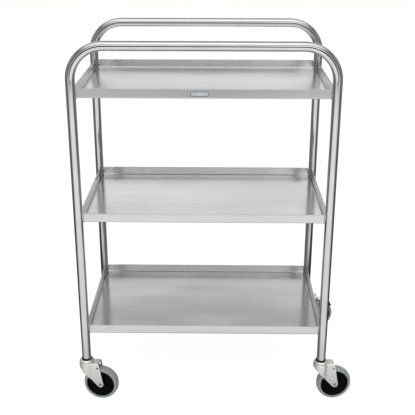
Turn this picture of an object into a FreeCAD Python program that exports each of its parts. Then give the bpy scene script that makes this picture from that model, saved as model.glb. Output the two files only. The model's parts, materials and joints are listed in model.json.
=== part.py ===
import FreeCAD, Part
import math
import os

# Utility cart: two bent tube frames joined by three tray shelves, on four swivel casters.
# Millimetres. +X runs to the right along the shelves, +Y to the rear and +Z up.
# The origin is on the floor, midway between the four legs.

# Tube frames: one inverted U at the front and one at the rear. The rise is from the top
# shelf's rim to the top of the rails.
rail_rise = 122.5
leg_spacing_x = 681.0
leg_spacing_y = 422.6
tube_diameter = 25.4
tube_wall = 1.65
bend_radius = 87.0

# Tray shelves: sheet with four turned-up rims whose top edge is folded back as a hem. The
# bottom rim's rise is from the lower end of the legs to the top of the bottom shelf's rim.
bottom_rim_rise = 101.6
shelf_pitch = 344.2
shelf_names = ["bottom_shelf", "middle_shelf", "top_shelf"]
sheet = 1.2
rim_height = 25.4
rim_inset_front = 5.0
rim_inset_side = 2.0
rim_bend_radius = 2.2
hem_height = 9.5
hem_gap = 0.6
cope_gap = 0.8

# Weld beads where the rims and the shelf floor meet a leg.
rim_bead_radius = 1.8
cope_bead_radius = 1.5
cope_bead_half_arc_deg = 23.0
bead_end_margin = 2.5

# Blank name plate on the top shelf's front rim.
plate_width = 48.0
plate_height = 14.0
plate_thickness = 0.8
plate_corner_radius = 1.5
plate_border = 1.0
plate_field_depth = 0.25
plate_offset_x = -10.5

# Casters: wheel. The dish share is the dish's depth at its middle radius, as a share of the
# step from the web to the face.
wheel_diameter = 101.6
tread_width = 25.4
tread_thickness = 9.8
crown_drop = 2.2
shoulder_radius = 2.6
core_face_inset = 0.8
core_rim_width = 5.5
core_web_width = 9.0
core_edge_round = 1.2
dish_step = 3.0
dish_share = 0.28
hub_radius = 10.5
hub_end_gap = 0.6
bushing_radius = 6.0
bushing_end_gap = 0.25

# Casters: axle bolt with a low round head, and its nut.
axle_radius = 4.0
axle_head_radius = 4.9
axle_head_height = 1.5
axle_nut_flats = 13.0
axle_nut_height = 5.0
axle_end_beyond_nut = 1.0

# Casters: fork. Its crown is a cup round the stem; its two side plates stand on the axle.
caster_trail = 41.0
wheel_top_gap = 16.9
fork_sheet = 2.0
wheel_side_gap = 1.8
crown_radius = 22.0
crown_front_drop = 8.5
fork_top_length = 38.0
fork_tip_radius = 9.2
fork_edge_round = 4.5
fork_rear_round = 4.0
fork_plan_blend = 3.0
slot_axle_offset = 6.8
slot_above_wheel = 2.4
slot_width = 4.6
slot_height = 7.6

# Casters: swivel head with one ring of balls between the crown and the race cap.
ball_diameter = 4.0
ball_ring_inset = 7.0
ball_count = 18
ball_stand = 1.05
race_gap = 1.8
cap_height = 5.7
cap_inset = 1.2
cap_flat_inset = 0.9
cap_lip_depth = 0.7
cap_lip_width = 2.0
cap_edge_height = 1.2
stem_radius = 5.5
stem_head_radius = 8.5
stem_head_height = 3.4
stem_head_gap = 0.3
stem_end_beyond_nut = 2.0

# Casters: rubber sleeve that expands in the leg tube, with a visible flange below it.
sleeve_flange_thickness = 5.0
sleeve_flange_lip = 1.7
sleeve_flange_round = 1.0
sleeve_length = 42.0
stem_nut_flats = 15.0
stem_nut_height = 8.0

# Rear casters: brake lever over the tread, hinged on a pin in the fork's slots.
brake_pin_radius = 2.2
brake_pin_head_radius = 3.4
brake_pin_head_height = 1.0
knuckle_wall = 1.5
lever_sheet = 2.0
lever_side_gap = 2.5
lever_tread_gap = 2.4
lever_end_deg = 41.0
shoe_tread_gap = 0.35
shoe_from_deg = 62.0
shoe_to_deg = 80.0
tip_from_deg = 47.0
tip_to_deg = 35.0
tip_mouth_deg = 1.0
tip_cover = 1.5
tip_tail_round = 1.5

# Clearances between pieces that fit together, and the overrun of cutting shapes.
running_gap = 0.05
seat_gap = 0.05
overrun = 1.0

# Swivel angle of each caster as the cart stands, about +Z from trailing towards +X.
rest_angles_deg = {
    "front_left": -7.8,
    "front_right": 8.2,
    "rear_left": -4.0,
    "rear_right": 6.0,
}
braked_casters = ["rear_left", "rear_right"]

# Places that follow from the sizes above.
tube_radius = tube_diameter / 2
wheel_radius = wheel_diameter / 2
core_radius = wheel_radius - tread_thickness
axle_z = wheel_radius
fork_top_z = wheel_diameter + wheel_top_gap
fork_under_z = fork_top_z - fork_sheet
fork_inner_half = tread_width / 2 + wheel_side_gap
fork_outer_half = fork_inner_half + fork_sheet
core_rim_radius = core_radius - core_rim_width
core_dish_radius = hub_radius + dish_step
ball_ring_radius = crown_radius - ball_ring_inset
ball_radius = ball_diameter / 2
ball_z = fork_top_z + ball_stand
cap_bottom_z = fork_top_z + race_gap
cap_top_z = cap_bottom_z + cap_height
cap_radius = crown_radius - cap_inset
sleeve_flange_radius = tube_radius + sleeve_flange_lip
cap_flat_radius = sleeve_flange_radius - cap_flat_inset
tube_end_z = cap_top_z + sleeve_flange_thickness
bottom_rim_top = tube_end_z + bottom_rim_rise
top_rim_z = bottom_rim_top + (len(shelf_names) - 1) * shelf_pitch
rail_z = top_rim_z + rail_rise - tube_radius
sleeve_top_z = tube_end_z + sleeve_length
slot_x = caster_trail - slot_axle_offset
slot_z = wheel_diameter + slot_above_wheel
slot_end_offset = (slot_height - slot_width) / 2
brake_pin_x = slot_x
brake_pin_z = slot_z + slot_end_offset + slot_width / 2 - brake_pin_radius - running_gap
pin_bearing_deg = math.degrees(math.atan2(brake_pin_z - axle_z, brake_pin_x - caster_trail))
lever_inner = wheel_radius + lever_tread_gap
lever_outer = lever_inner + lever_sheet
lever_half_width = fork_inner_half - lever_side_gap
shelf_half_x = leg_spacing_x / 2 - rim_inset_side
shelf_half_y = leg_spacing_y / 2 - rim_inset_front
hem_radius = sheet + hem_gap / 2
bend_outer_radius = rim_bend_radius + sheet
legs = {
    "front_left": (-leg_spacing_x / 2, -leg_spacing_y / 2),
    "front_right": (leg_spacing_x / 2, -leg_spacing_y / 2),
    "rear_left": (-leg_spacing_x / 2, leg_spacing_y / 2),
    "rear_right": (leg_spacing_x / 2, leg_spacing_y / 2),
}

diagonal_share = math.sqrt(0.5)
up = FreeCAD.Vector(0, 0, 1)
along_y = FreeCAD.Vector(0, 1, 0)


def vec(x, y, z):
    return FreeCAD.Vector(x, y, z)


def line(a, b):
    return Part.LineSegment(a, b).toShape()


def arc(a, middle, b):
    return Part.Arc(a, middle, b).toShape()


def rim_top(level):
    return bottom_rim_top + level * shelf_pitch


def cylinder(radius, z_low, z_high, x=0, y=0):
    return Part.makeCylinder(radius, z_high - z_low, vec(x, y, z_low))


def cylinder_y(radius, y_low, y_high, x, z):
    return Part.makeCylinder(radius, y_high - y_low, vec(x, y_low, z), along_y)


def box(x_low, x_high, y_low, y_high, z_low, z_high):
    return Part.makeBox(x_high - x_low, y_high - y_low, z_high - z_low, vec(x_low, y_low, z_low))


def hexagon_prism(flats, height, base, direction):
    corner = flats / math.sqrt(3)
    side = vec(1, 0, 0)
    other = direction.cross(side)
    points = []
    for k in range(7):
        turn = math.radians(60 * k)
        points.append(base + side * (corner * math.cos(turn)) + other * (corner * math.sin(turn)))
    return Part.Face(Part.makePolygon(points)).extrude(direction * height)


def polar(radius, angle_deg, y=0):
    """A point at a radius from the wheel's axle, in the caster's own X-Z plane."""
    turn = math.radians(angle_deg)
    return vec(caster_trail + radius * math.cos(turn), y, axle_z + radius * math.sin(turn))


def revolve_round_axle(wire):
    return Part.Face(wire).revolve(vec(caster_trail, 0, axle_z), along_y, 360)


def revolve_round_stem(wire):
    return Part.Face(wire).revolve(vec(0, 0, 0), up, 360)


def placed(shape, corner):
    """Move a piece from the caster's own frame to its leg, turned to its rest angle."""
    leg_x, leg_y = legs[corner]
    moved = shape.copy()
    moved.rotate(vec(0, 0, 0), up, rest_angles_deg[corner])
    moved.translate(vec(leg_x, leg_y, 0))
    return moved


# Frames and shelves.


def tube_path(y):
    """Centre line of one frame: up the left leg, along the rail and down the right leg."""
    half = leg_spacing_x / 2
    inner = half - bend_radius
    bend_z = rail_z - bend_radius
    rise = bend_radius * diagonal_share
    left_mid = vec(-inner - rise, y, bend_z + rise)
    right_mid = vec(inner + rise, y, bend_z + rise)
    return Part.Wire([
        line(vec(-half, y, tube_end_z), vec(-half, y, bend_z)),
        arc(vec(-half, y, bend_z), left_mid, vec(-inner, y, rail_z)),
        line(vec(-inner, y, rail_z), vec(inner, y, rail_z)),
        arc(vec(inner, y, rail_z), right_mid, vec(half, y, bend_z)),
        line(vec(half, y, bend_z), vec(half, y, tube_end_z)),
    ])


def tube_frame(y):
    start = vec(-leg_spacing_x / 2, y, tube_end_z)
    solids = []
    for radius in (tube_radius, tube_radius - tube_wall):
        section = Part.Wire([Part.makeCircle(radius, start, up)])
        solids.append(tube_path(y).makePipeShell([section], True, False))
    return solids[0].cut(solids[1])


def rim_section():
    """Rim profile as (inward from the outer face, up from the underside), with its hem."""
    top = rim_height - hem_radius
    leaf = 2 * hem_radius
    rise = hem_radius * diagonal_share
    small = hem_gap / 2
    outer_corner = bend_outer_radius * (1 - diagonal_share)
    inner_corner = bend_outer_radius - rim_bend_radius * diagonal_share
    return [
        ((0, bend_outer_radius), None, (0, top)),
        ((0, top), (hem_radius, top + hem_radius), (leaf, top)),
        ((leaf, top), None, (leaf, rim_height - hem_height)),
        ((leaf, rim_height - hem_height), None, (leaf - sheet, rim_height - hem_height)),
        ((leaf - sheet, rim_height - hem_height), None, (leaf - sheet, top)),
        ((leaf - sheet, top), (hem_radius, top + small), (sheet, top)),
        ((sheet, top), None, (sheet, bend_outer_radius)),
        ((sheet, bend_outer_radius), (inner_corner, inner_corner), (bend_outer_radius, sheet)),
        ((bend_outer_radius, sheet), None, (bend_outer_radius, 0)),
        ((bend_outer_radius, 0), (outer_corner, outer_corner), (0, bend_outer_radius)),
    ]


def rim(place, run):
    """One rim: its profile put in place by a function, and extruded along a run."""
    edges = []
    for start, middle, end in rim_section():
        if middle is None:
            edges.append(line(place(*start), place(*end)))
        else:
            edges.append(arc(place(*start), place(*middle), place(*end)))
    return Part.Face(Part.Wire(edges)).extrude(run)


def shelf(level):
    base = rim_top(level) - rim_height
    floor_x = shelf_half_x - bend_outer_radius
    floor_y = shelf_half_y - bend_outer_radius
    copes = [
        cylinder(tube_radius + cope_gap, base - overrun, rim_top(level) + overrun, x, y)
        for x, y in legs.values()]
    pan = box(-floor_x, floor_x, -floor_y, floor_y, base, base + sheet).cut(copes)
    for sign in (-1, 1):
        long_rim = rim(
            lambda inward, rise: vec(-shelf_half_x, sign * (shelf_half_y - inward), base + rise),
            vec(2 * shelf_half_x, 0, 0))
        short_rim = rim(
            lambda inward, rise: vec(sign * (shelf_half_x - inward), -shelf_half_y, base + rise),
            vec(0, 2 * shelf_half_y, 0))
        pan = pan.fuse(long_rim.cut(copes))
        pan = pan.fuse(short_rim.cut(copes))
    return pan.removeSplitter()


def weld_beads(level, pan):
    """Beads on both rim ends and under the coped floor corner, at each leg of one shelf."""
    base = rim_top(level) - rim_height
    reach = tube_radius + cope_gap / 2
    front_rim_y = rim_inset_front + sheet / 2
    side_rim_x = rim_inset_side + sheet / 2
    along_front = math.sqrt(reach ** 2 - front_rim_y ** 2)
    along_side = math.sqrt(reach ** 2 - side_rim_x ** 2)
    beads = []
    for x, y in legs.values():
        toward_x = -math.copysign(1, x)
        toward_y = -math.copysign(1, y)
        leg = cylinder(
            tube_radius, base - 2 * cope_bead_radius - overrun, rim_top(level) + overrun, x, y)
        rod_low = base + bead_end_margin
        rod_high = rim_top(level) - bead_end_margin
        spots = [(along_front, front_rim_y), (side_rim_x, along_side)]
        for dx, dy in spots:
            beads.append(cylinder(
                rim_bead_radius, rod_low, rod_high, x + toward_x * dx, y + toward_y * dy
            ).cut(leg).cut(pan))
        facing = math.degrees(math.atan2(toward_y, toward_x))
        ring = Part.makeTorus(
            tube_radius + cope_gap / 2, cope_bead_radius, vec(0, 0, 0), up,
            0, 360, 2 * cope_bead_half_arc_deg)
        ring.rotate(vec(0, 0, 0), up, facing - cope_bead_half_arc_deg)
        ring.translate(vec(x, y, base + sheet / 2 - cope_bead_radius))
        beads.append(ring.cut(leg).cut(pan))
    return beads


def name_plate():
    """Blank plate with a thin raised border, on the top shelf's front rim."""
    z_mid = top_rim_z - rim_height / 2
    rim_y = -shelf_half_y
    low_x = plate_offset_x - plate_width / 2
    low_z = z_mid - plate_height / 2
    plate = box(
        low_x, low_x + plate_width, rim_y - plate_thickness, rim_y, low_z, low_z + plate_height)
    corners = [e for e in plate.Edges if abs(e.tangentAt(e.FirstParameter).y) > diagonal_share]
    plate = plate.makeFillet(plate_corner_radius, corners)
    field = box(
        low_x + plate_border, low_x + plate_width - plate_border,
        rim_y - plate_thickness - overrun, rim_y - plate_thickness + plate_field_depth,
        low_z + plate_border, low_z + plate_height - plate_border)
    return plate.cut(field)


# Caster pieces, in the caster's own frame: stem on the Z axis, trailing towards +X.


def fork_plan(crown, half, x_end, z_low, z_high, edge_round):
    """Round crown joined to a straight channel, blended in plan and rounded over its top."""
    body = cylinder(crown, z_low, z_high).fuse(box(0, x_end, -half, half, z_low, z_high))
    body = body.removeSplitter()
    corner_x = math.sqrt(crown ** 2 - half ** 2)
    corners = []
    for edge in body.Edges:
        middle = edge.CenterOfMass
        upright = abs(edge.tangentAt(edge.FirstParameter).z) > diagonal_share
        if upright and abs(middle.x - corner_x) < running_gap:
            corners.append(edge)
    body = body.makeFillet(fork_plan_blend, corners)
    top_edges = [
        e for e in body.Edges
        if e.BoundBox.ZMin > z_high - running_gap and e.CenterOfMass.x < x_end - running_gap]
    return body.makeFillet(edge_round, top_edges)


def fork_side_wire(y):
    """Side outline: sloping front edge, round tip at the axle, steep rear edge."""
    tip = vec(caster_trail, y, axle_z)
    front = vec(-crown_radius - overrun, y, fork_top_z - crown_front_drop)
    corner = vec(fork_top_length, y, fork_top_z)
    front_touch = tangent_point(front, tip, fork_tip_radius, -1)
    rear_touch = tangent_point(corner, tip, fork_tip_radius, 1)
    lowest = vec(caster_trail, y, axle_z - fork_tip_radius)
    down_edge = (rear_touch - corner).normalize()
    half_turn = (math.pi - down_edge.getAngle(vec(-1, 0, 0))) / 2
    reach = fork_rear_round * math.tan(half_turn)
    round_low = corner + down_edge * reach
    round_high = corner - vec(reach, 0, 0)
    centre = round_high - vec(0, 0, fork_rear_round)
    round_middle = centre + (corner - centre).normalize() * fork_rear_round
    front_top = vec(front.x, y, fork_top_z + overrun)
    rear_top = vec(round_high.x, y, fork_top_z + overrun)
    return Part.Wire([
        line(front_top, front),
        line(front, front_touch),
        arc(front_touch, lowest, rear_touch),
        line(rear_touch, round_low),
        arc(round_low, round_middle, round_high),
        line(round_high, rear_top),
        line(rear_top, front_top),
    ])


def tangent_point(outside, centre, radius, side):
    """Where a line from an outside point touches a circle in the X-Z plane."""
    away = outside - centre
    distance = away.Length
    spread = math.acos(radius / distance)
    bearing = math.atan2(away.z, away.x) - side * spread
    return centre + vec(radius * math.cos(bearing), 0, radius * math.sin(bearing))


def fork():
    """Pressed fork: an even sheet over crown and side plates, cut to its side outline."""
    x_end = caster_trail + fork_tip_radius + overrun
    z_low = axle_z - fork_tip_radius - overrun
    outer = fork_plan(
        crown_radius, fork_outer_half, x_end, z_low, fork_top_z, fork_edge_round)
    inner = fork_plan(
        crown_radius - fork_sheet, fork_inner_half, x_end + overrun, z_low - overrun,
        fork_under_z, fork_edge_round - fork_sheet)
    body = outer.cut(inner)
    reach = crown_radius + overrun
    body = body.common(Part.Face(fork_side_wire(-reach)).extrude(along_y * (2 * reach)))
    groove = Part.makeTorus(ball_ring_radius, ball_radius + running_gap, vec(0, 0, ball_z), up)
    stem_hole = cylinder(stem_radius + running_gap, fork_under_z - overrun, fork_top_z + overrun)
    axle_hole = cylinder_y(axle_radius + seat_gap, -reach, reach, caster_trail, axle_z)
    return body.cut([groove, stem_hole, axle_hole, slot(-reach, reach)])


def slot(y_low, y_high):
    """Upright oval slot near the rear top of the side plates."""
    radius = slot_width / 2
    lower = cylinder_y(radius, y_low, y_high, slot_x, slot_z - slot_end_offset)
    upper = cylinder_y(radius, y_low, y_high, slot_x, slot_z + slot_end_offset)
    middle = box(
        slot_x - radius, slot_x + radius, y_low, y_high,
        slot_z - slot_end_offset, slot_z + slot_end_offset)
    return middle.fuse([lower, upper])


def race_cap():
    """Dished cap fixed to the stem; its rim covers the ring of balls."""
    bore = stem_radius + seat_gap
    edge_z = cap_bottom_z + cap_edge_height
    under_z = cap_bottom_z + cap_lip_depth
    curve_x = cap_flat_radius + (cap_radius - cap_flat_radius) * diagonal_share
    curve_z = edge_z + (cap_top_z - edge_z) * diagonal_share
    lip_x = cap_radius - cap_lip_width
    section = Part.Wire([
        line(vec(bore, 0, under_z), vec(bore, 0, cap_top_z)),
        line(vec(bore, 0, cap_top_z), vec(cap_flat_radius, 0, cap_top_z)),
        arc(vec(cap_flat_radius, 0, cap_top_z), vec(curve_x, 0, curve_z), vec(cap_radius, 0, edge_z)),
        line(vec(cap_radius, 0, edge_z), vec(cap_radius, 0, cap_bottom_z)),
        line(vec(cap_radius, 0, cap_bottom_z), vec(lip_x, 0, cap_bottom_z)),
        line(vec(lip_x, 0, cap_bottom_z), vec(lip_x, 0, under_z)),
        line(vec(lip_x, 0, under_z), vec(bore, 0, under_z)),
    ])
    groove = Part.makeTorus(ball_ring_radius, ball_radius + running_gap, vec(0, 0, ball_z), up)
    return revolve_round_stem(section).cut(groove)


def race_balls():
    balls = []
    for k in range(ball_count):
        turn = 2 * math.pi * k / ball_count
        centre = vec(ball_ring_radius * math.cos(turn), ball_ring_radius * math.sin(turn), ball_z)
        balls.append(Part.makeSphere(ball_radius, centre))
    return Part.makeCompound(balls)


def stem():
    """King bolt: round head under the crown, shank up through cap, sleeve and nut."""
    head_top = fork_under_z - stem_head_gap
    head_low = head_top - stem_head_height
    stem_top = sleeve_top_z + stem_nut_height + stem_end_beyond_nut
    head = cylinder(stem_head_radius, head_low, head_top)
    low_edges = [e for e in head.Edges if abs(e.BoundBox.ZMax - head_low) < running_gap]
    head = head.makeFillet(stem_head_height / 2, low_edges)
    return head.fuse(cylinder(stem_radius, head_top, stem_top)).removeSplitter()


def stem_nut():
    base = vec(0, 0, sleeve_top_z)
    nut = hexagon_prism(stem_nut_flats, stem_nut_height, base, up)
    bore = cylinder(
        stem_radius + seat_gap, sleeve_top_z - overrun, sleeve_top_z + stem_nut_height + overrun)
    return nut.cut(bore)


def stem_sleeve():
    """Rubber sleeve gripped in the tube, with its flange under the tube's end."""
    tube_bore = tube_radius - tube_wall - seat_gap
    flange = cylinder(sleeve_flange_radius, cap_top_z, tube_end_z)
    rims = [e for e in flange.Edges if e.BoundBox.ZLength < running_gap]
    flange = flange.makeFillet(sleeve_flange_round, rims)
    body = flange.fuse(cylinder(tube_bore, tube_end_z - sleeve_flange_round, sleeve_top_z))
    bore = cylinder(stem_radius + seat_gap, cap_top_z - overrun, sleeve_top_z + overrun)
    return body.removeSplitter().cut(bore)


def tread():
    """Rubber tyre: crowned tread, rounded shoulders, flat sides down to the core."""
    half = tread_width / 2
    bore = core_radius + seat_gap
    shoulder_y = half - shoulder_radius
    shoulder_z = wheel_radius - crown_drop - shoulder_radius
    crown_edge = shoulder_z + shoulder_radius
    rise = shoulder_radius * diagonal_share

    def at(y, radius):
        return vec(caster_trail, y, axle_z + radius)

    edges = [
        arc(at(-shoulder_y, crown_edge), at(0, wheel_radius), at(shoulder_y, crown_edge)),
        line(at(half, bore), at(-half, bore)),
    ]
    for sign in (-1, 1):
        side = at(sign * half, shoulder_z)
        middle = at(sign * (shoulder_y + rise), shoulder_z + rise)
        edges.append(line(at(sign * half, bore), side))
        edges.append(arc(side, middle, at(sign * shoulder_y, crown_edge)))
    return revolve_round_axle(Part.Wire(Part.__sortEdges__(edges)))


def wheel_core():
    """Moulded core: rim under the tyre, dished web and a hub that turns on the bushing."""
    face = tread_width / 2 - core_face_inset
    web = core_web_width / 2
    hub_end = fork_inner_half - hub_end_gap
    bore = bushing_radius + running_gap

    def at(y, radius):
        return vec(caster_trail, y, axle_z + radius)

    round_at = core_edge_round * (1 - diagonal_share)
    round_y = face - core_edge_round
    round_radius = core_radius - core_edge_round
    dish_mid_y = web + (face - web) * dish_share
    dish_mid_radius = (core_dish_radius + core_rim_radius) / 2
    edges = [
        line(at(-round_y, core_radius), at(round_y, core_radius)),
        line(at(-hub_end, bore), at(hub_end, bore)),
    ]
    for sign in (-1, 1):
        web_foot = at(sign * web, core_dish_radius)
        rim_foot = at(sign * face, core_rim_radius)
        rim_edge = at(sign * face, round_radius)
        round_middle = at(sign * (face - round_at), core_radius - round_at)
        edges.append(line(at(sign * hub_end, bore), at(sign * hub_end, hub_radius)))
        edges.append(line(at(sign * hub_end, hub_radius), at(sign * web, hub_radius)))
        edges.append(line(at(sign * web, hub_radius), web_foot))
        edges.append(arc(web_foot, at(sign * dish_mid_y, dish_mid_radius), rim_foot))
        edges.append(line(rim_foot, rim_edge))
        edges.append(arc(rim_edge, round_middle, at(sign * round_y, core_radius)))
    return revolve_round_axle(Part.Wire(Part.__sortEdges__(edges)))


def hub_bushing():
    reach = fork_inner_half - bushing_end_gap
    outer = cylinder_y(bushing_radius, -reach, reach, caster_trail, axle_z)
    return outer.cut(cylinder_y(
        axle_radius + seat_gap, -reach - overrun, reach + overrun, caster_trail, axle_z))


def axle():
    """Axle bolt: low round head on the near side, plain shank, end beyond the nut."""
    far = fork_outer_half + axle_nut_height + axle_end_beyond_nut
    head_face = -fork_outer_half - axle_head_height
    head = cylinder_y(axle_head_radius, head_face, -fork_outer_half, caster_trail, axle_z)
    front = [e for e in head.Edges if e.BoundBox.YMax < head_face + running_gap]
    head = head.makeFillet(axle_head_height / 2, front)
    shank = cylinder_y(axle_radius, -fork_outer_half, far, caster_trail, axle_z)
    return head.fuse(shank).removeSplitter()


def axle_nut():
    base = vec(caster_trail, fork_outer_half, axle_z)
    nut = hexagon_prism(axle_nut_flats, axle_nut_height, base, along_y)
    far = fork_outer_half + axle_nut_height + overrun
    return nut.cut(cylinder_y(
        axle_radius + seat_gap, fork_outer_half - overrun, far, caster_trail, axle_z))


# Brake pieces of a rear caster, in the caster's own frame with the lever down.


def arc_band(inner, outer, from_deg, to_deg, half_width):
    """A band round the axle between two radii and two angles, across the wheel."""
    mid = (from_deg + to_deg) / 2
    y = -half_width
    wire = Part.Wire([
        arc(polar(inner, from_deg, y), polar(inner, mid, y), polar(inner, to_deg, y)),
        line(polar(inner, to_deg, y), polar(outer, to_deg, y)),
        arc(polar(outer, to_deg, y), polar(outer, mid, y), polar(outer, from_deg, y)),
        line(polar(outer, from_deg, y), polar(inner, from_deg, y)),
    ])
    return Part.Face(wire).extrude(along_y * (2 * half_width))


def brake_lever():
    """Stamped lever: knuckle round the pin and a band that follows the tread."""
    knuckle = cylinder_y(
        brake_pin_radius + knuckle_wall, -lever_half_width, lever_half_width,
        brake_pin_x, brake_pin_z)
    band = arc_band(lever_inner, lever_outer, lever_end_deg, pin_bearing_deg, lever_half_width)
    body = knuckle.fuse(band).removeSplitter()
    reach = lever_half_width + overrun
    return body.cut(cylinder_y(
        brake_pin_radius + running_gap, -reach, reach, brake_pin_x, brake_pin_z))


def brake_pin():
    shank = cylinder_y(
        brake_pin_radius, -fork_outer_half, fork_outer_half, brake_pin_x, brake_pin_z)
    heads = [
        cylinder_y(
            brake_pin_head_radius, -fork_outer_half - brake_pin_head_height, -fork_outer_half,
            brake_pin_x, brake_pin_z),
        cylinder_y(
            brake_pin_head_radius, fork_outer_half, fork_outer_half + brake_pin_head_height,
            brake_pin_x, brake_pin_z),
    ]
    return shank.fuse(heads).removeSplitter()


def brake_shoe():
    """Friction block under the lever's band."""
    return arc_band(
        wheel_radius + shoe_tread_gap, lever_inner, shoe_from_deg, shoe_to_deg,
        lever_half_width - tip_cover)


def brake_tip():
    """Moulded foot tip that wraps the lever's end."""
    half_width = lever_half_width + tip_cover
    body = arc_band(
        lever_inner - tip_cover, lever_outer + tip_cover, tip_to_deg, tip_from_deg, half_width)
    across = [e for e in body.Edges if e.BoundBox.YLength > 2 * half_width - running_gap]
    body = body.makeFillet(tip_tail_round, across)
    mouth_deg = tip_from_deg + tip_mouth_deg
    return body.cut(arc_band(lever_inner, lever_outer, lever_end_deg, mouth_deg, lever_half_width))


caster_pieces = {
    "stem_sleeve": stem_sleeve,
    "stem": stem,
    "stem_nut": stem_nut,
    "race_cap": race_cap,
    "race_balls": race_balls,
    "fork": fork,
    "axle": axle,
    "axle_nut": axle_nut,
    "hub_bushing": hub_bushing,
    "wheel_core": wheel_core,
    "tread": tread,
}
brake_pieces = {
    "brake_lever": brake_lever,
    "brake_pin": brake_pin,
    "brake_shoe": brake_shoe,
    "brake_tip": brake_tip,
}


def save(name, shape):
    shape.exportStep(os.path.join("parts", name + ".step"))


def main():
    os.makedirs("parts", exist_ok=True)
    save("front_frame", tube_frame(-leg_spacing_y / 2))
    save("rear_frame", tube_frame(leg_spacing_y / 2))
    beads = []
    for level, name in enumerate(shelf_names):
        pan = shelf(level)
        save(name, pan)
        beads += weld_beads(level, pan)
    save("shelf_welds", Part.makeCompound(beads))
    save("name_plate", name_plate())
    for piece, make in caster_pieces.items():
        shape = make()
        for corner in legs:
            save(corner + "_" + piece, placed(shape, corner))
    for piece, make in brake_pieces.items():
        shape = make()
        for corner in braked_casters:
            save(corner + "_" + piece, placed(shape, corner))


main()
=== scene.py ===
"""Looks of the utility cart: finishes, studio light, floor and camera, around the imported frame. Metres."""

import json
import math

import bmesh
import bpy
from mathutils import Matrix, Vector


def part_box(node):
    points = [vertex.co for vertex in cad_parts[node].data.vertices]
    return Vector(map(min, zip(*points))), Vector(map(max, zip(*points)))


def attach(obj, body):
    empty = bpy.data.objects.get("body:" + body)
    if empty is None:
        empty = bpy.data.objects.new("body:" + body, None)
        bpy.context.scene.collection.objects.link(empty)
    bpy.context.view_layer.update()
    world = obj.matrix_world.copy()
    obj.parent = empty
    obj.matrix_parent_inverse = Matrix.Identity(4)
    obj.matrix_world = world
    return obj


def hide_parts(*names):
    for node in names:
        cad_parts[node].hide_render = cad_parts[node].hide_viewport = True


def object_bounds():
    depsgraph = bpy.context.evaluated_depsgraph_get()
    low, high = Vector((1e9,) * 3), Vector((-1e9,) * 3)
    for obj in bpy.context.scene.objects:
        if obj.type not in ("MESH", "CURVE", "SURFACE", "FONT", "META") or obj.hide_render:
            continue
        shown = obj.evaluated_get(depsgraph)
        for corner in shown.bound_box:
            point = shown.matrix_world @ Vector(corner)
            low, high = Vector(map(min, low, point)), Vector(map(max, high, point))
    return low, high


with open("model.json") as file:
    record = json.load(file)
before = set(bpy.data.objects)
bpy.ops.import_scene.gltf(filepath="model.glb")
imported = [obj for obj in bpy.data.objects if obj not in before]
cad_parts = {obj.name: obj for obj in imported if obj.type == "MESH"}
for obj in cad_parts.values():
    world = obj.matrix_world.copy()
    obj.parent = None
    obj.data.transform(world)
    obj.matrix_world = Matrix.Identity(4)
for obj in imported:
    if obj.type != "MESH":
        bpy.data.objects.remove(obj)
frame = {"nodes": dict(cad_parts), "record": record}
cad_low, cad_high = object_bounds()

mm = 0.001
white = (1, 1, 1, 1)

# Camera, fitted to the photograph's 415 x 415 frame. Angles are in radians, lens and sensor in mm.
camera_place = (0.033305, -2.20806, 1.367347)
camera_pitch = 0.36737
camera_yaw = -0.01153
camera_roll = -0.00165
camera_lens = 68.857
camera_sensor = 36.0

# Studio light seen in reflections: brightness against elevation in degrees, for each bearing in
# degrees from the camera's side round to the back, alike to the left and right.
overhead = (90, 0.85)
studio_rings = [
    (12, [
        (-20, 0.01), (9, 0.01), (13, 1.4), (20, 1.45), (25, 0.8), (29, 0.4), (38, 0.42), (48, 1.35),
        (76, 1.7), overhead]),
    (36, [(-20, 0.6), (2, 0.5), (17, 0.4), (28, 0.25), (38, 0.5), (50, 1.2), (76, 1.5), overhead]),
    (60, [(-20, 0.12), (6, 0.12), (17, 0.15), (34, 0.18), (42, 0.6), (50, 1.1), (76, 1.3), overhead]),
    (90, [
        (-20, 0.25), (4, 0.35), (11, 0.4), (25, 0.33), (34, 0.15), (42, 0.3), (52, 0.9), (76, 1.2),
        overhead]),
    (120, [
        (-20, 0.08), (6, 0.1), (13, 0.35), (24, 0.4), (34, 0.2), (42, 0.3), (54, 0.6), (76, 0.9),
        overhead]),
    (150, [(-20, 0.08), (6, 0.1), (12, 0.65), (26, 0.65), (40, 0.5), (60, 0.4), (76, 0.6), overhead]),
    (172, [
        (-20, 0.05), (5, 0.05), (10, 1.1), (17, 1.2), (25, 1.4), (29, 0.3), (38, 0.15), (55, 0.15),
        (72, 0.6), overhead]),
]

# The least level part of a direction, so that straight up and straight down have a bearing too.
least_flat = 0.001

# A window to the right of the camera, by the sine of its bearing and by its elevation in degrees:
# where it begins, where it is full, where it stops being full and where it ends.
window_across = (0.0, 0.1, 0.3, 0.45)
window_up = (10, 13, 16, 21)
window_gain = 0.8

# Floor: half its width, and its glow to the camera, with the share of the surface that glows.
floor_half = 6.0
floor_glow = 1.12
floor_glow_share = 0.85

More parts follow.
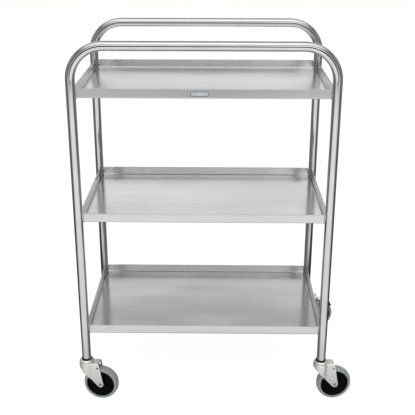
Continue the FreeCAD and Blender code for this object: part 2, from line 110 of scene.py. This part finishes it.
# Floor seen in reflections: brightness against distance from the middle of the cart's front or back,
# for each bearing in degrees, which is taken from a point this far behind the front.
floor_reach = 4.6
bearing_back = 0.7
floor_rings = [
    (12, [
        (0.05, 0.6), (0.3, 0.9), (1.0, 0.95), (1.4, 1.02), (2.6, 1.05), (3.6, 1.05), (4.25, 0.85),
        (4.5, 0.03)]),
    (29, [(0.05, 0.6), (0.3, 0.9), (1.0, 0.95), (1.4, 1.0), (2.6, 1.0), (3.6, 0.95), (4.4, 0.75)]),
    (45, [(0.05, 0.6), (0.3, 0.8), (1.0, 0.62), (2.5, 0.6), (3.6, 0.55), (4.4, 0.45)]),
    (55, [(0.05, 0.3), (0.3, 0.25), (1.0, 0.1), (2.0, 0.1), (3.6, 0.12), (4.2, 0.2)]),
    (72, [(0.05, 0.25), (1.0, 0.1), (2.0, 0.1), (4.2, 0.12)]),
    (90, [(0.05, 0.2), (1.0, 0.12), (2.0, 0.15), (3.6, 0.3), (4.2, 0.3)]),
    (110, [(0.05, 0.2), (1.0, 0.1), (2.0, 0.12), (4.2, 0.12)]),
    (140, [(0.05, 0.4), (1.0, 0.6), (2.0, 0.55), (3.2, 0.25), (4.2, 0.2)]),
    (165, [(0.05, 0.5), (0.4, 0.85), (3.6, 0.85), (4.4, 0.5)]),
]
mirror_drop = 1 * mm

# The cart's shade on that floor: how much light it leaves, the distances from the middle of the front
# or back over which it fades, and how far out from the front or back it goes from full to none.
shade_level = 0.2
shade_fade = (0.6, 2.0)
shade_edge = (-0.15, 0.3)

# Lamps, which reflections don't show: place, width and power in watts, and what they all point at.
lamps = {
    "top_light": ((0.3, -0.3, 2.9), 1.6, 30),
    "front_light": ((-1.6, -2.6, 2.4), 1.4, 30),
}
lamp_aim = (0.0, 0.0, 0.5)

# Bent tubes: the bend's centre line, as the frames are built.
bend_radius = 87 * mm

# Grain of the steel, in waves per metre along the lines, across them and out of the surface.
tube_grain = (12.0, 900.0, 900.0)
sheet_grain = (9.0, 1500.0, 1500.0)
sheet_bands = (2.0, 60.0, 60.0)

# Slow swell of the thin shelf sheet: its depth, and its waves per metre along, across and up.
swell_depth = 4.0 * mm
swell_waves = (3.2, 4.4, 4.4)

# Relief of the finishes: the height of grain lines, of a mottle and of weld pools.
grain_depth = 0.01 * mm
mottle_depth = 0.05 * mm
pool_depth = 0.3 * mm

# Rims by their normal's parts: the end ones face mostly along x, and all of them hardly up or down.
# Their roughness differs from the shelves' floors by the third value.
end_facing = 0.7
rim_facing = (0.9, 0.6)
rim_polish = -0.05

# Noise values keep near one half: nearly all lie between these two.
noise_low = 0.3
noise_high = 0.7

# Name plate, from its outer edge inwards, and the blur of its edges of colour.
plate_border = 0.5 * mm
plate_line = 1.5 * mm
plate_blur = 0.12 * mm

# Welds: the shelf's sheet, its gap to the leg, and the beads with their ripples.
sheet = 1.2 * mm
rim_height = 25.4 * mm
weld_gap = 0.4 * mm
rim_bead_radius = 1.75 * mm
floor_bead_radius = 1.45 * mm
floor_bead_half_arc = math.radians(22)
bead_end_margin = 2.6 * mm
bead_sides = 14
ripple_pitch = 1.7 * mm
ripple_steps = 6
ripple_depth_share = 0.22
taper_power = 8
least_taper = 0.3


class Tree:
    """Adds nodes to one node tree. An input takes a number, a colour or another node's output."""

    def __init__(self, owner):
        owner.use_nodes = True
        self.tree = owner.node_tree
        self.tree.nodes.clear()

    def add(self, kind, inputs=None, **settings):
        node = self.tree.nodes.new(kind)
        for name, value in settings.items():
            setattr(node, name, value)
        for key, value in (inputs or {}).items():
            if isinstance(value, bpy.types.NodeSocket):
                self.tree.links.new(value, node.inputs[key])
            else:
                node.inputs[key].default_value = value
        return node

    def place(self):
        """The point's place in the frame: nodes sit at the origin, so object coordinates give it."""
        return self.add("ShaderNodeTexCoord").outputs["Object"]

    def math(self, operation, *values):
        return self.add("ShaderNodeMath", dict(enumerate(values)), operation=operation).outputs[0]

    def times(self, a, b):
        return self.math("MULTIPLY", a, b)

    def length(self, a, b):
        return self.math("SQRT", self.math("ADD", self.times(a, a), self.times(b, b)))

    def split(self, vector):
        node = self.add("ShaderNodeSeparateXYZ", {0: vector})
        return node.outputs[0], node.outputs[1], node.outputs[2]

    def join(self, x, y, z):
        return self.add("ShaderNodeCombineXYZ", {0: x, 1: y, 2: z}).outputs[0]

    def scaled(self, vector, *factors):
        """The vector with each of its three parts times its own factor."""
        return self.join(*[self.times(part, factor) for part, factor in zip(self.split(vector), factors)])

    def smooth(self, value, low, high, to_low=0.0, to_high=1.0):
        """A number that goes smoothly from to_low to to_high as value goes from low to high."""
        node = self.add(
            "ShaderNodeMapRange", {0: value, 1: low, 2: high, 3: to_low, 4: to_high},
            interpolation_type="SMOOTHSTEP")
        return node.outputs[0]

    def band(self, value, edges):
        """One between the two middle edges, falling smoothly to nothing at the outer two."""
        rise = self.smooth(value, edges[0], edges[1])
        fall = self.smooth(value, edges[2], edges[3], 1.0, 0.0)
        return self.times(rise, fall)

    def mix(self, share, a, b):
        return self.add("ShaderNodeMix", {0: share, 6: a, 7: b}, data_type="RGBA").outputs[2]

    def ramp(self, value, stops):
        """A grey value read off a list of (place, brightness) stops."""
        node = self.add("ShaderNodeValToRGB", {0: value})
        band = node.color_ramp.elements
        # A ramp has two stops of its own. New ones begin in the middle and are placed below.
        while len(band) < len(stops):
            band.new(0.5)
        for stop, (place, level) in zip(band, stops):
            stop.position = place
            stop.color = grey(level)
        return node.outputs[0]

    def blend_rings(self, bearing, value, low, high, rings):
        """A grey value read off each ring's (value, brightness) stops, blended by the bearing."""
        level = self.math("DIVIDE", self.math("SUBTRACT", value, low), high - low)
        blended = None
        for towards, stops in rings:
            ring = self.ramp(level, [((at - low) / (high - low), bright) for at, bright in stops])
            if blended is None:
                blended = ring
            else:
                blended = self.mix(self.smooth(bearing, before, towards), blended, ring)
            before = towards
        return blended

    def noise(self, vector, scale, detail=3.0, roughness=0.5):
        """A noise value. Scale is in waves per unit of the vector, which is a metre for a place."""
        inputs = {"Vector": vector, "Scale": scale, "Detail": detail, "Roughness": roughness}
        return self.add("ShaderNodeTexNoise", inputs).outputs[0]

    def vary(self, noise, low, high):
        """A number that a noise value moves between low and high."""
        return self.smooth(noise, noise_low, noise_high, low, high)

    def tint(self, noise, a, b):
        """A colour that a noise value moves between a and b."""
        return self.mix(self.vary(noise, 0.0, 1.0), a, b)

    def bump(self, height, strength, depth, over=None):
        """The normal of a surface with relief, over another bump's normal if one is given."""
        inputs = {"Height": height, "Strength": strength, "Distance": depth}
        if over is not None:
            inputs["Normal"] = over
        return self.add("ShaderNodeBump", inputs).outputs[0]

    def surface(self, colour, roughness, normal, **others):
        """The material's surface. Other sockets go by their own names, with _ for a space."""
        inputs = {name.replace("_", " "): value for name, value in others.items()}
        inputs.update({"Base Color": colour, "Roughness": roughness, "Normal": normal})
        self.output(self.add("ShaderNodeBsdfPrincipled", inputs).outputs[0])

    def output(self, shader, kind="ShaderNodeOutputMaterial"):
        self.add(kind, {0: shader})


def grey(level, warm=0.0):
    return (level * (1 + warm), level, level * (1 - warm), 1)


# Finishes, one for each material slot of the record.


def tube_steel(tree):
    """Polished stainless tube: fine lines run along it, round the bends too."""
    low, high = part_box("front_frame")
    radius = (high.y - low.y) / 2
    rail_z = high.z - radius
    leg_x = (high.x - low.x) / 2 - radius
    x, y, z = tree.split(tree.place())
    across = tree.math("SUBTRACT", tree.math("ABSOLUTE", x), leg_x - bend_radius)
    rise = tree.math("SUBTRACT", z, rail_z - bend_radius)
    bend_x = tree.math("MAXIMUM", across, 0.0)
    bend_z = tree.math("MAXIMUM", rise, 0.0)
    bent = tree.times(tree.math("ARCTAN2", bend_z, bend_x), bend_radius)
    straight = tree.math("SUBTRACT", tree.math("MINIMUM", rise, 0.0), tree.math("MINIMUM", across, 0.0))
    lines = tree.join(tree.math("ADD", bent, straight), tree.length(bend_x, bend_z), y)
    fine = tree.noise(tree.scaled(lines, *tube_grain), scale=1.0)
    haze = tree.noise(lines, scale=14.0)
    roughness = tree.math("ADD", tree.vary(fine, 0.07, 0.11), tree.vary(haze, -0.015, 0.015))
    tree.surface(
        tree.tint(haze, grey(0.66), grey(0.71)), roughness,
        tree.bump(fine, strength=0.05, depth=grain_depth), Metallic=1.0)


def shelf_steel(tree):
    """Brushed stainless sheet: the grain runs along the shelf, and up the rims at its two ends."""
    x, y, z = tree.split(tree.place())
    normal = tree.add("ShaderNodeNewGeometry").outputs["Normal"]
    normal_x, _, normal_z = tree.split(normal)
    ends = tree.math("GREATER_THAN", tree.math("ABSOLUTE", normal_x), end_facing)
    others = tree.math("SUBTRACT", 1.0, ends)
    along = tree.math("ADD", tree.times(others, x), tree.times(ends, z))
    out = tree.math("ADD", tree.times(others, z), tree.times(ends, x))
    lines = tree.join(along, y, out)
    fine = tree.noise(tree.scaled(lines, *sheet_grain), scale=1.0, detail=4.0, roughness=0.65)
    bands = tree.noise(tree.scaled(lines, *sheet_bands), scale=1.0)
    haze = tree.noise(tree.place(), scale=5.0)
    swell = tree.noise(tree.scaled(tree.place(), *swell_waves), scale=1.0, detail=1.0)
    rims = tree.smooth(tree.math("ABSOLUTE", normal_z), *rim_facing)
    brushed = tree.math("MULTIPLY_ADD", rims, rim_polish, tree.vary(fine, 0.21, 0.23))
    roughness = tree.math("ADD", brushed, tree.vary(haze, -0.01, 0.015))
    grain = tree.join(others, 0.0, ends)
    tangent = tree.add("ShaderNodeVectorMath", {0: normal, 1: grain}, operation="CROSS_PRODUCT")
    swelling = tree.bump(swell, strength=1.0, depth=swell_depth)
    relief = tree.bump(fine, strength=0.03, depth=grain_depth, over=swelling)
    tree.surface(
        tree.tint(bands, grey(0.68), grey(0.71)), roughness, relief,
        Metallic=1.0, Anisotropic=0.75, Tangent=tangent.outputs[0])


def weld_steel(tree):
    """Weld metal: pools, and a dark colour that is partly a dull heat stain and partly painted shade of the
    corners where the shelves meet the legs.
    """
    pools = tree.noise(tree.place(), scale=700.0, detail=2.0)
    stain_and_shade = tree.noise(tree.place(), scale=160.0)
    # The dark weld colour is partly heat stain and partly painted shade of the corners at the legs.
    tree.surface(
        tree.tint(stain_and_shade, grey(0.17, 0.05), grey(0.34)), tree.vary(stain_and_shade, 0.3, 0.45),
        tree.bump(pools, strength=0.5, depth=pool_depth), Metallic=1.0)


def plate_enamel(tree):
    """Blank name plate: a bare bright border, a thin dark line and a pale enamelled field."""
    low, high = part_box("name_plate")
    x, _, z = tree.split(tree.place())
    off_x = tree.math("ABSOLUTE", tree.math("SUBTRACT", x, (low.x + high.x) / 2))
    off_z = tree.math("ABSOLUTE", tree.math("SUBTRACT", z, (low.z + high.z) / 2))
    inside_x = tree.math("SUBTRACT", (high.x - low.x) / 2, off_x)
    inside_z = tree.math("SUBTRACT", (high.z - low.z) / 2, off_z)
    inside = tree.math("MINIMUM", inside_x, inside_z)
    field_edge = plate_border + plate_line
    painted = tree.smooth(inside, plate_border - plate_blur, plate_border + plate_blur)
    field = tree.smooth(inside, field_edge - plate_blur, field_edge + plate_blur)
    fine = tree.noise(tree.place(), scale=900.0)
    cloud = tree.noise(tree.place(), scale=90.0)
    pale = tree.tint(cloud, (0.48, 0.5, 0.54, 1), (0.54, 0.56, 0.59, 1))
    enamel = tree.mix(field, (0.045, 0.055, 0.11, 1), pale)
    relief = tree.bump(tree.math("ADD", fine, painted), strength=0.1, depth=mottle_depth)
    tree.surface(
        tree.mix(painted, grey(0.86), enamel), tree.vary(fine, 0.26, 0.36), relief,
        Metallic=tree.math("SUBTRACT", 1.0, painted))


def zinc_plate(tree):
    """Bright zinc plate: a fine mottle over a satin pressing."""
    mottle = tree.noise(tree.place(), scale=320.0, detail=4.0, roughness=0.6)
    cloud = tree.noise(tree.place(), scale=45.0)
    roughness = tree.math("ADD", tree.vary(mottle, 0.25, 0.3), tree.vary(cloud, -0.03, 0.04))
    tree.surface(
        tree.tint(mottle, (0.83, 0.83, 0.82, 1), (0.87, 0.87, 0.86, 1)), roughness,
        tree.bump(mottle, strength=0.03, depth=mottle_depth), Metallic=0.7)


def bolt_steel(tree):
    """Darker steel of the bolts, pins and balls."""
    mottle = tree.noise(tree.place(), scale=500.0)
    cloud = tree.noise(tree.place(), scale=70.0)
    tree.surface(
        tree.tint(cloud, grey(0.42), grey(0.54)), tree.vary(mottle, 0.24, 0.38),
        tree.bump(mottle, strength=0.15, depth=mottle_depth), Metallic=1.0)


def moulding(tree, dark, light, smoothest, roughest, grain=900.0, relief=0.3, specular=0.4):
    """Rubber or plastic between two colours and two roughnesses, with a speckled skin."""
    speck = tree.noise(tree.place(), scale=grain)
    cloud = tree.noise(tree.place(), scale=60.0)
    tree.surface(
        tree.tint(cloud, dark, light), tree.vary(speck, smoothest, roughest),
        tree.bump(speck, strength=relief, depth=mottle_depth), Specular_IOR_Level=specular)


def sleeve_rubber(tree):
    moulding(tree, grey(0.007), grey(0.012), 0.42, 0.58, specular=0.2)


def shoe_rubber(tree):
    moulding(tree, grey(0.02), grey(0.03), 0.6, 0.8)


def core_plastic(tree):
    moulding(tree, grey(0.002), grey(0.0035), 0.45, 0.6, grain=1400.0, relief=0.15, specular=0.06)


def tip_plastic(tree):
    moulding(tree, grey(0.008), grey(0.014), 0.35, 0.48, grain=1200.0, relief=0.15, specular=0.2)


def tread_rubber(tree):
    """Grey tyre: fine scuffs and a soft sheen."""
    dark = (0.27, 0.275, 0.28, 1)
    light = (0.32, 0.325, 0.33, 1)
    moulding(tree, dark, light, 0.28, 0.42, grain=700.0, relief=0.2, specular=0.5)


def bushing_nylon(tree):
    moulding(tree, (0.68, 0.67, 0.62, 1), (0.76, 0.75, 0.70, 1), 0.35, 0.5)


finishes = {
    "tube_steel": tube_steel,
    "shelf_steel": shelf_steel,
    "weld_steel": weld_steel,
    "plate_enamel": plate_enamel,
    "zinc_plate": zinc_plate,
    "bolt_steel": bolt_steel,
    "sleeve_rubber": sleeve_rubber,
    "bushing_nylon": bushing_nylon,
    "core_plastic": core_plastic,
    "tread_rubber": tread_rubber,
    "shoe_rubber": shoe_rubber,
    "tip_plastic": tip_plastic,
}


def paint_nodes():
    """Gives every node its slot's material, and returns the materials by slot."""
    materials = {}
    for slot, build in finishes.items():
        material = bpy.data.materials.new(slot)
        build(Tree(material))
        materials[slot] = material
    for part in frame["record"]["subparts"]:
        for held in frame["nodes"][part["node"]].material_slots:
            held.material = materials[part["material_slot"]]
    return materials


# Welds. A path gives, at a distance along it, its point and the two directions square to it.


def upright_path(foot):
    def spot(at):
        return foot + Vector((0, 0, at)), Vector((1, 0, 0)), Vector((0, 1, 0))

    return spot


def corner_path(middle, facing, reach):
    """A level arc round a leg's middle, on the side that faces the shelf."""
    def spot(at):
        turn = facing - floor_bead_half_arc + at / reach
        outward = Vector((math.cos(turn), math.sin(turn), 0))
        return middle + outward * reach, Vector((0, 0, 1)), outward

    return spot


def rippled_bead(shape, path, length, radius):
    """A weld bead along a path, with the ripples that each pool of metal leaves."""
    steps = round(length / ripple_pitch) * ripple_steps
    turns = [2 * math.pi * corner / bead_sides for corner in range(bead_sides)]
    rings = []
    for step in range(steps + 1):
        share = step / steps
        middle, side, up = path(share * length)
        ripple = (step % ripple_steps) / ripple_steps
        taper = math.sqrt(1 - (2 * share - 1) ** taper_power)
        swell = radius * (1 - ripple_depth_share * (1 - ripple) ** 2) * max(taper, least_taper)
        rings.append([
            shape.verts.new(middle + side * (swell * math.cos(turn)) + up * (swell * math.sin(turn)))
            for turn in turns])
    for lower, upper in zip(rings, rings[1:]):
        for here in range(bead_sides):
            there = (here + 1) % bead_sides
            shape.faces.new((lower[here], lower[there], upper[there], upper[here]))
    shape.faces.new(rings[0][::-1])
    shape.faces.new(rings[-1])


def beads_at_leg(shape, leg_x, leg_y, reach, shelf):
    """Two upright beads where a shelf's rims end at a leg, and one under its notched floor corner."""
    pan_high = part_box(shelf)[1]
    base = pan_high.z - rim_height
    inward_x = -math.copysign(1, leg_x)
    inward_y = -math.copysign(1, leg_y)
    long_y = abs(leg_y) - (pan_high.y - sheet / 2)
    short_x = abs(leg_x) - (pan_high.x - sheet / 2)
    ends = [
        (math.sqrt(reach ** 2 - long_y ** 2), long_y),
        (short_x, math.sqrt(reach ** 2 - short_x ** 2))]
    for in_x, in_y in ends:
        foot = Vector((leg_x + inward_x * in_x, leg_y + inward_y * in_y, base + bead_end_margin))
        rippled_bead(shape, upright_path(foot), rim_height - 2 * bead_end_margin, rim_bead_radius)
    middle = Vector((leg_x, leg_y, base + sheet / 2 - floor_bead_radius))
    corner = corner_path(middle, math.atan2(inward_y, inward_x), reach)
    rippled_bead(shape, corner, 2 * floor_bead_half_arc * reach, floor_bead_radius)


def shelf_weld_beads(material):
    """The shelves' welds at all four legs, as one piece with rippled beads."""
    shape = bmesh.new()
    for frame_node in ("front_frame", "rear_frame"):
        low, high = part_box(frame_node)
        radius = (high.y - low.y) / 2
        for side in (-1, 1):
            leg_x = side * ((high.x - low.x) / 2 - radius)
            leg_y = (high.y + low.y) / 2
            for shelf in ("top_shelf", "middle_shelf", "bottom_shelf"):
                beads_at_leg(shape, leg_x, leg_y, radius + weld_gap, shelf)
    for face in shape.faces:
        face.smooth = True
    mesh = bpy.data.meshes.new("shelf_weld_beads")
    shape.to_mesh(mesh)
    shape.free()
    mesh.materials.append(material)
    beads = bpy.data.objects.new("shelf_weld_beads", mesh)
    bpy.context.scene.collection.objects.link(beads)
    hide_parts("shelf_welds")
    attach(beads, "cart")


def studio_world():
    """White to the camera; elsewhere a soft studio that depends only on direction."""
    world = bpy.data.worlds.new("studio")
    bpy.context.scene.world = world
    world.cycles.sampling_method = "NONE"
    tree = Tree(world)
    x, y, z = tree.split(tree.add("ShaderNodeTexCoord").outputs["Generated"])
    flat = tree.math("MAXIMUM", tree.length(x, y), least_flat)
    facing = tree.math("DIVIDE", tree.times(y, -1.0), flat)
    bearing = tree.math("DEGREES", tree.math("ARCCOSINE", facing))
    elevation = tree.math("DEGREES", tree.math("ARCSINE", z))
    rings = tree.blend_rings(bearing, elevation, -90, 90, studio_rings)
    across = tree.band(tree.math("DIVIDE", x, flat), window_across)
    in_front = tree.times(across, tree.math("LESS_THAN", y, 0.0))
    window = tree.times(in_front, tree.band(elevation, window_up))
    light = tree.math("ADD", rings, tree.times(window, window_gain))
    to_camera = tree.add("ShaderNodeLightPath").outputs["Is Camera Ray"]
    seen = tree.mix(to_camera, light, white)
    tree.output(tree.add("ShaderNodeBackground", {0: seen, 1: 1.0}).outputs[0], "ShaderNodeOutputWorld")


def floor_sheet(name, height):
    """A level sheet of the studio's floor, and the tree of its material."""
    corners = [(-1, -1), (1, -1), (1, 1), (-1, 1)]
    mesh = bpy.data.meshes.new(name)
    mesh.from_pydata([(x * floor_half, y * floor_half, height) for x, y in corners], [], [(0, 1, 2, 3)])
    mesh.materials.append(bpy.data.materials.new(name))
    floor = bpy.data.objects.new(name, mesh)
    bpy.context.scene.collection.objects.link(floor)
    return floor, Tree(mesh.materials[0])


def studio_floor():
    """Pale floor at the wheels' lowest point. It glows to the camera but keeps a soft shadow."""
    floor, tree = floor_sheet("floor", cad_low.z)
    paper = tree.noise(tree.place(), scale=3.0)
    matt = tree.add("ShaderNodeBsdfDiffuse", {"Color": tree.tint(paper, grey(0.86), grey(0.9))})
    glow = tree.add("ShaderNodeEmission", {"Color": white, "Strength": floor_glow})
    to_camera = tree.add("ShaderNodeLightPath").outputs["Is Camera Ray"]
    share = tree.times(to_camera, floor_glow_share)
    both = tree.add("ShaderNodeMixShader", {0: share, 1: matt.outputs[0], 2: glow.outputs[0]})
    tree.output(both.outputs[0])
    floor.visible_glossy = False


def reflected_floor():
    """The floor as reflections show it: bright before and behind the cart, dark beside and under it."""
    floor, tree = floor_sheet("mirror_floor", cad_low.z - mirror_drop)
    x, y, _ = tree.split(tree.place())
    middle_y = (cad_low.y + cad_high.y) / 2
    off_middle = tree.math("ABSOLUTE", tree.math("SUBTRACT", y, middle_y))
    out = tree.math("SUBTRACT", off_middle, middle_y - cad_low.y)
    away = tree.length(x, out)
    from_back = tree.math("SUBTRACT", cad_low.y + bearing_back, y)
    bearing = tree.math("DEGREES", tree.math("ARCTAN2", tree.math("ABSOLUTE", x), from_back))
    light = tree.blend_rings(bearing, away, 0, floor_reach, floor_rings)
    shaded = tree.smooth(away, *shade_fade, shade_level, 1.0)
    kept = tree.math("MAXIMUM", shaded, tree.smooth(out, *shade_edge))
    tree.output(tree.add("ShaderNodeEmission", {0: white, 1: tree.times(light, kept)}).outputs[0])
    floor.visible_camera = False
    floor.visible_diffuse = False
    floor.visible_shadow = False
    floor.visible_transmission = False


def lamp(name, spot, width, power):
    data = bpy.data.lights.new(name, "AREA")
    data.shape = "SQUARE"
    data.size = width
    data.energy = power
    holder = bpy.data.objects.new(name, data)
    bpy.context.scene.collection.objects.link(holder)
    holder.location = spot
    holder.rotation_mode = "QUATERNION"
    holder.rotation_quaternion = (Vector(spot) - Vector(lamp_aim)).to_track_quat("Z", "Y")
    holder.visible_glossy = False


def studio_camera():
    """The photograph's view, from its fitted place and angles."""
    pitch, yaw, roll = camera_pitch, camera_yaw, camera_roll
    level = Vector((math.cos(yaw), -math.sin(yaw), 0))
    forward = Vector((
        math.sin(yaw) * math.cos(pitch), math.cos(yaw) * math.cos(pitch), -math.sin(pitch)))
    down = forward.cross(level)
    right = level * math.cos(roll) + down * math.sin(roll)
    lower = down * math.cos(roll) - level * math.sin(roll)
    turn = Matrix((right, -lower, -forward)).transposed()
    data = bpy.data.cameras.new("camera")
    data.lens = camera_lens
    data.sensor_width = camera_sensor
    holder = bpy.data.objects.new("camera", data)
    bpy.context.scene.collection.objects.link(holder)
    holder.matrix_world = Matrix.Translation(camera_place) @ turn.to_4x4()
    bpy.context.scene.camera = holder


materials = paint_nodes()
shelf_weld_beads(materials["weld_steel"])
studio_world()
studio_floor()
reflected_floor()
for name, (spot, width, power) in lamps.items():
    lamp(name, spot, width, power)
studio_camera()
bpy.context.scene.view_settings.view_transform = "Standard"
